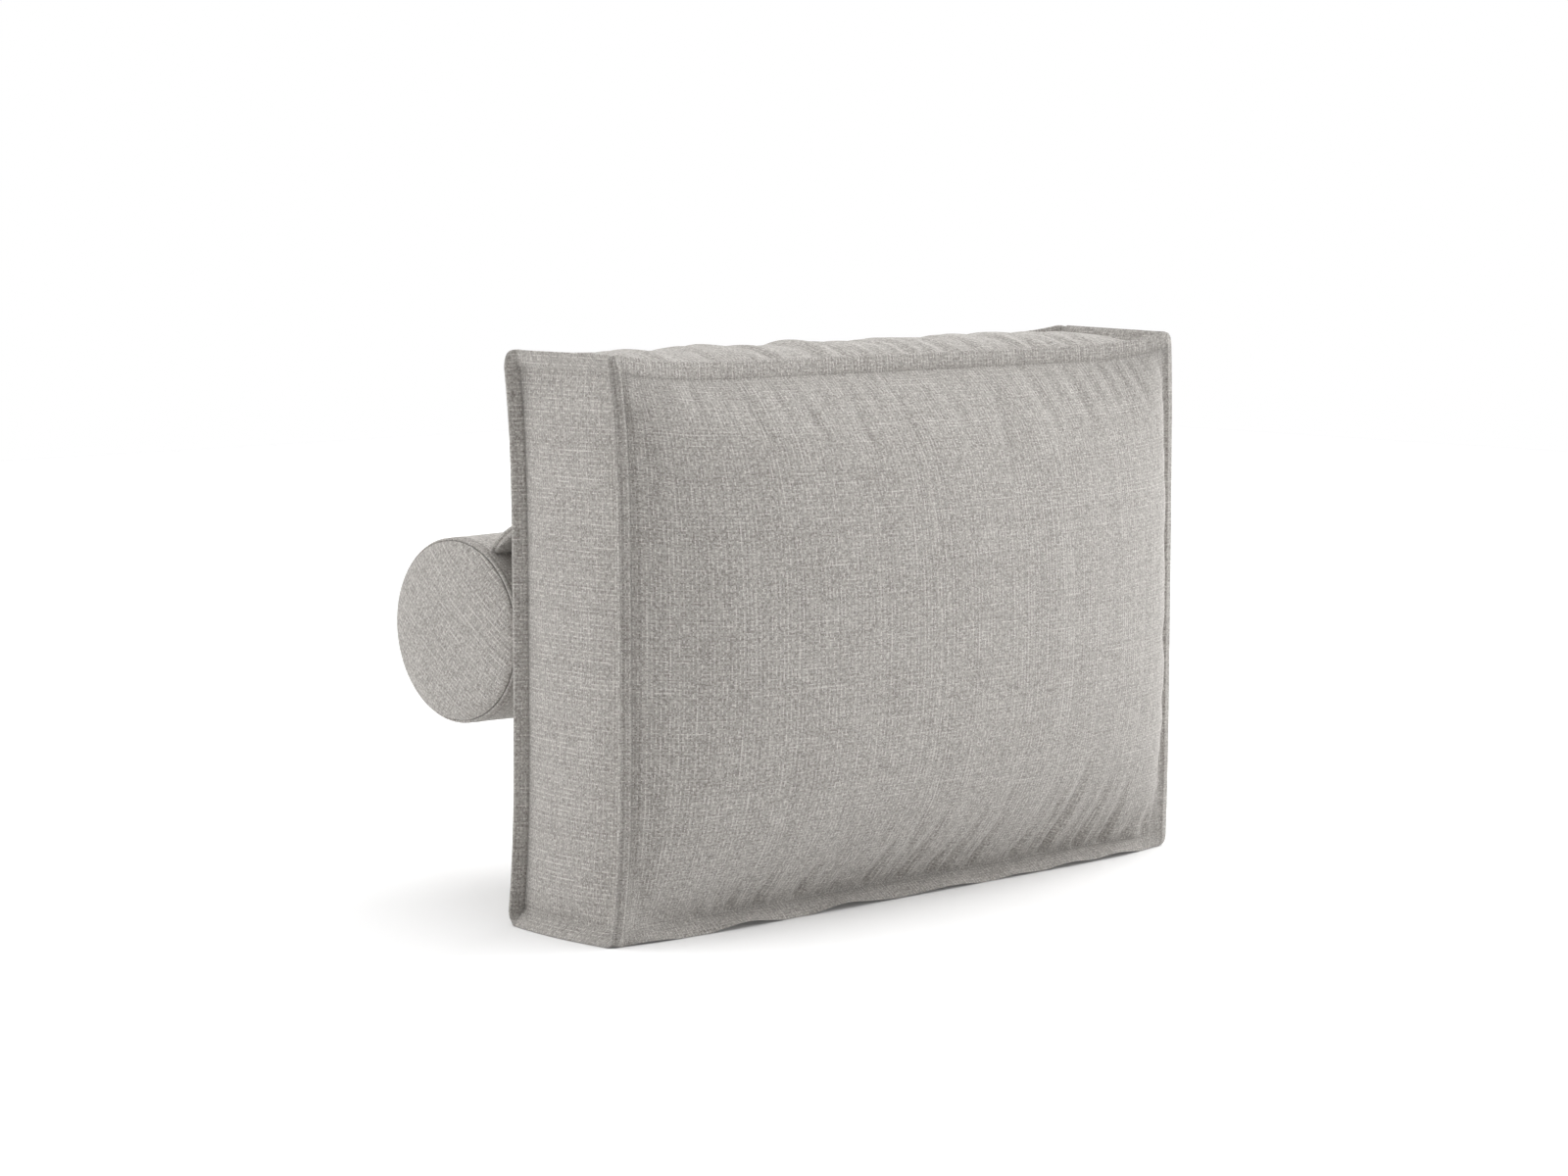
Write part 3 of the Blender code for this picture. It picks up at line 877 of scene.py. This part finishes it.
def back_surface(x, z):
    """Y of the cushion's back at a place inside its stitches."""
    high = (z - FOOT_HEIGHT) / (stitch_z(1, 1, 0.5) - FOOT_HEIGHT)
    left, right = stitch_x(-1, 1, high), stitch_x(1, 1, high)
    return broad_panel(1, (x - left) / (right - left), high).y


def flap_point(x, up, layer, half_length):
    """A point of the flap: along it, from the roll to the back, and through it (-1 to 1)."""
    from_end = min(half_length - abs(x), FLAP_HEM) / FLAP_HEM
    full = math.sqrt(max(0.0, 1.0 - (1.0 - from_end) ** 2))
    height = layer * FLAP_THICK / 2 * mix(FLAP_HEM_THICK, 1.0, full)
    angle = FLAP_FOOT_ANGLE - height / ROLL_RADIUS
    reach = ROLL_RADIUS + ROLL_SLACK + SOFT_GAP
    foot = Vector((
        ROLL_CENTRE[1] - reach * math.sin(angle),
        ROLL_CENTRE[2] + reach * ROLL_FLAT * math.cos(angle),
    ))
    bend = Vector((FLAP_BEND[0] + FLAP_BEND_SPREAD * height, FLAP_BEND[1] + height))
    top_z = FLAP_TOP + height
    top = Vector((back_surface(x, top_z) + SOFT_GAP, top_z))
    spot = mix(mix(foot, bend, up), mix(bend, top, up), up)
    return Vector((x, spot.x, spot.y))


def make_flap():
    """The padded flap: an upper and a lower cloth, joined by a seam around its edge."""
    flap = new_shape()
    half_length = WIDTH / 2 - ROLL_END_INSET - FLAP_INSET
    inner = half_length - FLAP_HEM
    along = [-half_length + line for line in FLAP_HEM_LINES]
    count = round(2 * inner / SPACING)
    along += [mix(-inner, inner, i / count) for i in range(1, count)]
    along += [half_length - line for line in reversed(FLAP_HEM_LINES)]
    runs = [i / FLAP_RUNS for i in range(FLAP_RUNS + 1)]
    layers = FLAP_LAYERS

    def at(x, up, layer):
        seam = FLAP_SEAM * max(0.0, 1.0 - abs(layer) / FLAP_SEAM_HALF)
        end = half_length - abs(x)
        inward = seam * max(0.0, 1.0 - end / FLAP_SEAM)
        point = flap_point(x, up, layer, half_length)
        return Vector((math.copysign(abs(x) - inward, x), point.y, point.z))

    for layer in (-1.0, 1.0):
        points = [[at(x, up, layer) for up in runs] for x in along]
        add_cloth(flap, points, lambda i, j, s=layer: (along[i] + s, FLAP_LONG * runs[j]))
    through = [layer * FLAP_THICK / 2 for layer in layers]
    for x in (-half_length, half_length):
        points = [[at(x, up, layer) for up in runs] for layer in layers]
        add_cloth(flap, points, lambda i, j, s=x: (s + through[i], FLAP_LONG * runs[j]))
    for up in (0.0, 1.0):
        points = [[at(x, up, layer) for layer in layers] for x in along]
        add_cloth(flap, points, lambda i, j, s=up: (along[i] + s, through[j]))
    return close_shape(flap)


def add_to_scene(name, data):
    thing = bpy.data.objects.new(name, data)
    bpy.context.scene.collection.objects.link(thing)
    return thing


def new_piece(name, shape, material):
    """Make a piece of a finished shape, with one material."""
    mesh = bpy.data.meshes.new(name)
    shape.to_mesh(mesh)
    shape.free()
    mesh.materials.append(material)
    return add_to_scene(name, mesh)


class Link:
    """A number's socket in a finish, which takes part in Python sums."""

    def __init__(self, finish, socket):
        self.finish = finish
        self.socket = socket

    def __add__(self, other):
        return self.finish.math("ADD", self, other)

    __radd__ = __add__

    def __sub__(self, other):
        return self.finish.math("SUBTRACT", self, other)

    def __rsub__(self, other):
        return self.finish.math("SUBTRACT", other, self)

    def __mul__(self, other):
        return self.finish.math("MULTIPLY", self, other)

    __rmul__ = __mul__

    def __truediv__(self, other):
        return self.finish.math("DIVIDE", self, other)

    def __mod__(self, other):
        return self.finish.math("FLOORED_MODULO", self, other)

    def floor(self):
        return self.finish.math("FLOOR", self)

    def cosine(self):
        return self.finish.math("COSINE", self)

    def above(self, limit):
        return self.finish.math("GREATER_THAN", self, limit)

    def below(self, limit):
        return self.finish.math("LESS_THAN", self, limit)

    def larger(self, other):
        return self.finish.math("MAXIMUM", self, other)

    def ramp(self, low, high):
        """0 up to low, 1 from high on, and a soft step in between."""
        settings = {"interpolation_type": "SMOOTHSTEP"}
        inputs = {"Value": self, "From Min": low, "From Max": high}
        return self.finish.output("ShaderNodeMapRange", settings, inputs)


class Finish:
    """One material, and what wires its nodes."""

    def __init__(self, name, roughness, sheen=0.0):
        self.material = bpy.data.materials.new(name)
        self.material.use_nodes = True
        self.tree = self.material.node_tree
        self.shader = self.tree.nodes["Principled BSDF"]
        self.shader.inputs["Roughness"].default_value = roughness
        self.shader.inputs["Sheen Weight"].default_value = sheen
        self.shader.inputs["Sheen Roughness"].default_value = SHEEN_ROUGHNESS
        self.shader.inputs["Specular IOR Level"].default_value = SPECULAR

    def node(self, kind, settings=None, inputs=None):
        made = self.tree.nodes.new(kind)
        for name, value in (settings or {}).items():
            setattr(made, name, value)
        for name, value in (inputs or {}).items():
            source = value.socket if isinstance(value, Link) else value
            if isinstance(source, bpy.types.NodeSocket):
                self.tree.links.new(source, made.inputs[name])
            else:
                made.inputs[name].default_value = source
        return made

    def output(self, kind, settings=None, inputs=None, name=0):
        return Link(self, self.node(kind, settings, inputs).outputs[name])

    def math(self, operation, *values):
        return self.output("ShaderNodeMath", {"operation": operation}, dict(enumerate(values)))

    def place(self, across, along):
        return self.output("ShaderNodeCombineXYZ", None, {"X": across, "Y": along})

    def noise(self, across, along, detail=1.0):
        """Soft noise around 0, one lump to a unit of its place."""
        inputs = {"Vector": self.place(across, along), "Scale": 1.0, "Detail": detail}
        return self.output("ShaderNodeTexNoise", {"noise_dimensions": "2D"}, inputs) - 0.5

    def chance(self, across, along=0.0):
        """A number from 0 to 1 for each whole place."""
        inputs = {"Vector": self.place(across, along)}
        return self.output("ShaderNodeTexWhiteNoise", {"noise_dimensions": "2D"}, inputs)

    def blend(self, share, first, second):
        colours = {0: share, 6: (*first, 1.0), 7: (*second, 1.0)}
        return self.output("ShaderNodeMix", {"data_type": "RGBA"}, colours, 2)

    def paint(self, colour):
        self.tree.links.new(colour.socket, self.shader.inputs["Base Color"])

    def raise_surface(self, height, distance):
        bump = self.output("ShaderNodeBump", None, {"Height": height, "Distance": distance})
        self.tree.links.new(bump.socket, self.shader.inputs["Normal"])


def yarns(finish, across, along, pitch, seed):
    """One set of yarns: their index, the place across each one, and their lightness.

    Every third yarn is a light one. It is thick and thin by turns, and so comes and goes
    on the face of the cloth, and a few of these yarns have a long bright slub.
    """
    count = across / pitch
    index = count.floor()
    off = count - index - 0.5
    light = (index % 3.0).below(0.5)
    own = finish.chance(index + seed)
    dashes = finish.noise(index * DASH_APART + seed, along / DASH_LENGTH, 2.0)
    slub = finish.noise(index * SLUB_APART + seed, along / SLUB_LENGTH)
    slub = slub.ramp(*SLUB_RANGE) * own.above(SLUB_CHANCE)
    grain = finish.noise(index * GRAIN_APART + seed, along / GRAIN_LENGTH)
    shine = light * (dashes.ramp(*DASH_RANGE) * LIGHT_DASH + slub * LIGHT_SLUB)
    shine = shine + grain * GRAIN + (own - 0.5) * YARN_OWN
    return index, off, shine


def slub_weave(name, dark, pale):
    """The cloth: a plain weave of melange yarns, with thin light yarns both ways."""
    finish = Finish(name, CLOTH_ROUGHNESS, CLOTH_SHEEN)
    cloth = finish.node("ShaderNodeUVMap", {"uv_map": "cloth"})
    parts = finish.node("ShaderNodeSeparateXYZ", None, {"Vector": cloth.outputs[0]})
    across, along = Link(finish, parts.outputs["X"]), Link(finish, parts.outputs["Y"])
    sway = finish.noise(across / SWAY_LENGTH, along / SWAY_LENGTH, 2.0) * SWAY
    drift = finish.noise(along / SWAY_LENGTH + SWAY_APART, across / SWAY_LENGTH, 2.0) * SWAY
    warp, warp_off, warp_shine = yarns(finish, across + sway, along, WARP_PITCH, WARP_SEED)
    weft, weft_off, weft_shine = yarns(finish, along + drift, across, WEFT_PITCH, WEFT_SEED)
    over = ((warp + weft) % 2.0) * 2.0 - 1.0
    warp_top = 1.0 - warp_off * warp_off * 4.0 + over * (weft_off * math.pi).cosine() * CRIMP
    weft_top = 1.0 - weft_off * weft_off * 4.0 - over * (warp_off * math.pi).cosine() * CRIMP
    warp_shows = (warp_top - weft_top).ramp(-CROSSING, CROSSING)
    height = warp_top.larger(weft_top)
    warp_seen = warp_shows * WARP_SEEN[1] + WARP_SEEN[0]
    weft_seen = WEFT_SEEN[0] - warp_shows * WEFT_SEEN[1]
    shine = warp_shine * warp_seen + weft_shine * weft_seen * WEFT_SHARE
    speck = (finish.chance(warp, weft) - 0.5) * SPECK
    cloud = finish.noise(across / CLOUD_LENGTH, along / CLOUD_LENGTH, 3.0) * CLOUD
    shade = height.ramp(*GAP_RANGE) * GAP_SHADE - GAP_SHADE
    finish.paint(finish.blend(BASE_SHARE + shine + speck + cloud + shade, dark, pale))
    finish.raise_surface(height + shine * SHINE_RAISE, YARN_HEIGHT)
    return finish.material


def thread_finish(name, colour):
    """Spun thread, lighter and darker along its length."""
    finish = Finish(name, THREAD_ROUGHNESS)
    place = finish.node("ShaderNodeTexCoord").outputs["Object"]
    inputs = {"Vector": place, "Scale": 1.0 / THREAD_TWIST, "Detail": 1.0}
    twist = finish.output("ShaderNodeTexNoise", None, inputs)
    dark, pale = ([part * shade for part in colour] for shade in THREAD_SHADES)
    finish.paint(finish.blend(twist, dark, pale))
    finish.raise_surface(twist, THREAD_TWIST * THREAD_RAISE)
    return finish.material


def floor_finish(name):
    """A white floor that glows a little by itself."""
    finish = Finish(name, FLOOR_ROUGHNESS)
    finish.shader.inputs["Base Color"].default_value = (*FLOOR_COLOUR, 1.0)
    finish.shader.inputs["Emission Color"].default_value = WHITE
    finish.shader.inputs["Emission Strength"].default_value = FLOOR_GLOW
    return finish.material


def divide_finer(piece):
    """Divide every face of a piece once more, and round it off."""
    finer = piece.modifiers.new("finer", "SUBSURF")
    finer.levels = finer.render_levels = 1
    finer.boundary_smooth = "PRESERVE_CORNERS"
    apply_modifiers(piece)


def apply_modifiers(piece):
    """Replace a piece's mesh by what its modifiers make of it."""
    graph = bpy.context.evaluated_depsgraph_get()
    made = bpy.data.meshes.new_from_object(piece.evaluated_get(graph))
    piece.modifiers.clear()
    old = piece.data
    piece.data = made
    bpy.data.meshes.remove(old)


def inflate(piece):
    """Let the filling press a cover's loose cloth out, and keep what it makes of it."""
    scene = bpy.context.scene
    mesh = piece.data
    held = np.empty(len(mesh.vertices), dtype=np.float32)
    mesh.attributes["held"].data.foreach_get("value", held)
    group = piece.vertex_groups.new(name="held")
    group.add(np.flatnonzero(held == 1.0).tolist(), 1.0, "REPLACE")
    press = piece.modifiers.new("press", "CLOTH")
    cloth = press.settings
    for name, value in CLOTH.items():
        setattr(cloth, name, value)
    cloth.vertex_group_mass = group.name
    cloth.effector_weights.gravity = 0.0
    press.collision_settings.use_collision = False
    press.point_cache.frame_start = 1
    press.point_cache.frame_end = CLOTH_FRAMES
    for frame_number in range(1, CLOTH_FRAMES + 1):
        scene.frame_set(frame_number)
    graph = bpy.context.evaluated_depsgraph_get()
    pressed = np.empty(len(mesh.vertices) * 3, dtype=np.float32)
    start = np.empty_like(pressed)
    piece.evaluated_get(graph).data.vertices.foreach_get("co", pressed)
    mesh.vertices.foreach_get("co", start)
    start = start.reshape(-1, 3)
    moved = pressed.reshape(-1, 3) - start
    length = np.maximum(np.linalg.norm(moved, axis=1, keepdims=True), NO_LENGTH)
    moved *= CLOTH_REACH * np.tanh(length / CLOTH_REACH) / length * (1.0 - held[:, None])
    place = start + moved
    place[:, 2] = np.maximum(place[:, 2], 0.0)
    piece.modifiers.remove(press)
    piece.vertex_groups.clear()
    scene.frame_set(1)
    mesh.vertices.foreach_set("co", place.ravel())
    mesh.update()


def stitch_lines():
    """The lines of topstitching, beside the stitches of every flange that shows."""
    lines = []
    for panel, ((wide, *_), (tall, *_)) in cover_panels():
        if panel.name == "base":
            continue
        for near in (-STITCH_AT, 1.0 + STITCH_AT):
            steps_a = [i * STITCH_STEP / wide for i in range(int(wide / STITCH_STEP) + 1)]
            steps_b = [i * STITCH_STEP / tall for i in range(int(tall / STITCH_STEP) + 1)]
            lines.append([settled(panel.point(step, near)) for step in steps_a])
            lines.append([settled(panel.point(near, step)) for step in steps_b])
    return lines


def sew(lines, cover, thread):
    """Sew short thread stitches along lines that are laid onto a cover."""
    surface = BVHTree.FromPolygons(
        [vertex.co for vertex in cover.data.vertices],
        [face.vertices for face in cover.data.polygons],
    )
    points, edges = [], []
    for line in lines:
        first = len(points)
        for point in line:
            spot, normal, _, _ = surface.find_nearest(point)
            points.append(spot + normal * STITCH_RAISE)
        edges += [(i, i + 1) for i in range(first, len(points) - 1)]
    mesh = bpy.data.meshes.new("topstitching")
    mesh.from_pydata(points, edges, [])
    piece = add_to_scene("topstitching", mesh)
    tree = bpy.data.node_groups.new("stitching", "GeometryNodeTree")
    kinds = {"Path": "Geometry", "Pitch": "Float", "Size": "Vector", "Thread": "Material"}
    sockets = {}
    for name, kind in kinds.items():
        made = tree.interface.new_socket(name, in_out="INPUT", socket_type="NodeSocket" + kind)
        sockets[name] = made.identifier
    tree.interface.new_socket("Stitches", in_out="OUTPUT", socket_type="NodeSocketGeometry")

    def node(kind, settings=None, **inputs):
        made = tree.nodes.new(kind)
        for name, value in (settings or {}).items():
            setattr(made, name, value)
        for name, value in inputs.items():
            place = made.inputs[name.replace("_", " ")]
            if isinstance(value, bpy.types.NodeSocket):
                tree.links.new(value, place)
            else:
                place.default_value = value
        return made

    given = node("NodeGroupInput").outputs
    curve = node("GeometryNodeMeshToCurve", Mesh=given["Path"])
    spots = node(
        "GeometryNodeResampleCurve",
        {"mode": "LENGTH"},
        Curve=curve.outputs[0],
        Length=given["Pitch"],
    )
    tangent = node("GeometryNodeInputTangent")
    turn = node("FunctionNodeAlignRotationToVector", {"axis": "X"}, Vector=tangent.outputs[0])
    bead = node(
        "GeometryNodeMeshUVSphere", Segments=STITCH_SIDES, Rings=STITCH_RINGS, Radius=0.5
    )
    placed = node(
        "GeometryNodeInstanceOnPoints",
        Points=spots.outputs[0],
        Instance=bead.outputs[0],
        Rotation=turn.outputs[0],
        Scale=given["Size"],
    )
    real = node("GeometryNodeRealizeInstances", Geometry=placed.outputs[0])
    smooth = node("GeometryNodeSetShadeSmooth", Geometry=real.outputs[0])
    finished = node(
        "GeometryNodeSetMaterial", Geometry=smooth.outputs[0], Material=given["Thread"]
    )
    node("NodeGroupOutput", Stitches=finished.outputs[0])
    sewing = piece.modifiers.new("sewing", "NODES")
    sewing.node_group = tree
    sewing[sockets["Pitch"]] = STITCH_PITCH
    sewing[sockets["Size"]] = STITCH_SIZE
    sewing[sockets["Thread"]] = thread
    apply_modifiers(piece)
    return piece


def dress(piece, node):
    """Hide the model's part that a finished piece replaces, and attach the piece to the root
    body.
    """
    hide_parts(node)
    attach(piece, "root")


def build():
    """Make, fill, sew and finish every piece."""
    cloth = slub_weave("cushion_weave", DARK_YARN, PALE_YARN)
    cushion = new_piece("cushion_cover", make_cover(), cloth)
    roll = new_piece("bolster_cover", make_roll(), cloth)
    left_welt = new_piece("left_welt", make_welt(-1), cloth)
    right_welt = new_piece("right_welt", make_welt(1), cloth)
    flap = new_piece("padded_flap", make_flap(), cloth)
    inflate(cushion)
    inflate(roll)
    for piece in (cushion, roll, flap, left_welt, right_welt):
        divide_finer(piece)
    stitching = sew(stitch_lines(), cushion, thread_finish("thread", THREAD_COLOUR))
    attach(stitching, "root")
    dress(cushion, "back_cushion")
    dress(roll, "bolster")
    dress(left_welt, "welt_left")
    dress(right_welt, "welt_right")
    dress(flap, "flap")


def lay_floor():
    shape = bmesh.new()
    bmesh.ops.create_grid(shape, x_segments=1, y_segments=1, size=FLOOR_HALF)
    floor = new_piece("floor", shape, floor_finish("floor_white"))
    floor.location.z = -FLOOR_DROP
    floor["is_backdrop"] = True


def hang_backdrop():
    """A world that looks white and lights the object only a little."""
    world = bpy.data.worlds.new("studio")
    bpy.context.scene.world = world
    world.use_nodes = True
    tree = world.node_tree
    dim = tree.nodes["Background"]
    bright = tree.nodes.new("ShaderNodeBackground")
    for backdrop, strength in ((dim, WORLD_LIGHT), (bright, BACKDROP_LIGHT)):
        backdrop.inputs["Color"].default_value = WHITE
        backdrop.inputs["Strength"].default_value = strength
    seen = tree.nodes.new("ShaderNodeLightPath")
    both = tree.nodes.new("ShaderNodeMixShader")
    tree.links.new(seen.outputs["Is Camera Ray"], both.inputs[0])
    tree.links.new(dim.outputs[0], both.inputs[1])
    tree.links.new(bright.outputs[0], both.inputs[2])
    tree.links.new(both.outputs[0], tree.nodes["World Output"].inputs["Surface"])


def set_lamps():
    for name, (azimuth, elevation), angle, strength in LAMPS:
        lamp = bpy.data.lights.new(name, "SUN")
        lamp.angle = math.radians(angle)
        lamp.energy = strength
        turn, rise = math.radians(azimuth), math.radians(elevation)
        level = math.cos(rise)
        towards = Vector((math.sin(turn) * level, -math.cos(turn) * level, math.sin(rise)))
        light = add_to_scene(name, lamp)
        light.rotation_mode = "QUATERNION"
        light.rotation_quaternion = towards.to_track_quat("Z", "Y")


def set_camera():
    camera = bpy.data.cameras.new("camera")
    camera.lens = CAMERA_LENS
    camera.sensor_width = CAMERA_SENSOR
    eye = add_to_scene("camera", camera)
    eye.location = CAMERA_AT
    eye.rotation_euler = [math.radians(angle) for angle in CAMERA_TURN]
    bpy.context.scene.camera = eye
    bpy.context.scene.view_settings.view_transform = "Standard"


build()
lay_floor()
hang_backdrop()
set_lamps()
set_camera()
boxes = {"cad": cad_box, "visual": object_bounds()}
{key: [list(corner) for corner in box] for key, box in boxes.items()}
